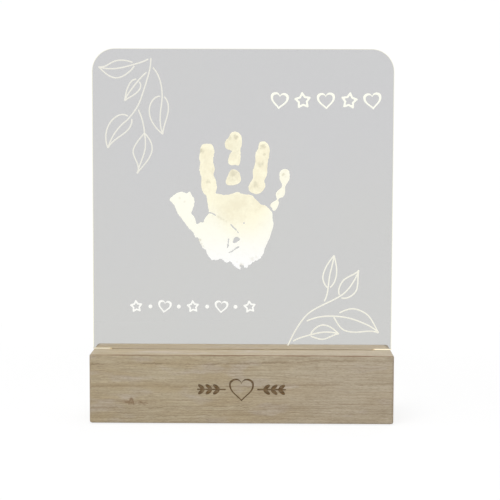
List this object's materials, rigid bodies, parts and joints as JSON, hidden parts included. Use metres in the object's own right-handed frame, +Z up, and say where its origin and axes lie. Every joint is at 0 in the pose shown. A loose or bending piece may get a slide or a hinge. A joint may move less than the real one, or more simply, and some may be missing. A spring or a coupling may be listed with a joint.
{
  "type": "handprint lamp frame",
  "caption": "Edge-lit clear acrylic keepsake plate with a baby's handprint and leaf sprigs, standing in a slotted wooden base with lights, rear power socket and push switch.",
  "frame": {"origin": "on the table, under the middle of the base, at the height of the undersides of the feet", "axes": "+X along the base to the viewer's right, +Y from the printed front to the back, +Z up"},
  "size_m": [0.2, 0.052, 0.2467],
  "materials": {
    "wood": "sanded, unvarnished",
    "clear_acrylic": "clear and polished, lit from its lower edge",
    "hand_ink": "white print, lit",
    "line_ink": "white print, lit",
    "light_chip": "glowing",
    "white_board": "white solder mask",
    "green_board": "green solder mask",
    "black_chip": "moulded",
    "aluminium_bar": "extruded",
    "dark_plastic": "fine moulded grain",
    "switch_plastic": "moulded",
    "button_plastic": "satin moulded",
    "foot_rubber": "matt",
    "screw_steel": "zinc plated",
    "socket_metal": "drawn and plated",
    "spring_steel": "drawn",
    "red_wire": "insulation",
    "black_wire": "insulation"
  },
  "bodies": {
    "base": {"base_block": "wood", "bottom_cover": "dark_plastic", "cover_screws": "screw_steel", "led_rail": "aluminium_bar", "rail_screws": "screw_steel", "led_board": "white_board", "led_chips": "light_chip", "strip_resistors": "black_chip", "rear_panel": "dark_plastic", "panel_screws": "screw_steel", "control_board": "green_board", "board_screws": "screw_steel", "socket_shell": "socket_metal", "socket_tongue": "black_chip", "switch_body": "switch_plastic", "switch_spring": "spring_steel", "foot_front_left": "foot_rubber", "foot_front_right": "foot_rubber", "foot_back_left": "foot_rubber", "foot_back_right": "foot_rubber", "wire_positive": "red_wire", "wire_negative": "black_wire"},
    "plate": {"acrylic_plate": "clear_acrylic", "hand_print": "hand_ink", "upper_sprig": "line_ink", "lower_sprig": "line_ink", "upper_motifs": "line_ink", "lower_motifs": "line_ink"},
    "button": {"button_cap": "button_plastic", "switch_plunger": "switch_plastic"}
  },
  "joints": [
    {"name": "plate_lift", "type": "slide", "parent": "base", "child": "plate", "axis": [0, 0, 1], "range_m": [0, 0.025]},
    {"name": "button_press", "type": "slide", "parent": "base", "child": "button", "axis": [0, -1, 0], "range_m": [0, 0.0015], "stiffness_N_per_m": 300, "springref_m": -0.002, "deforming": ["switch_spring"]}
  ]
}
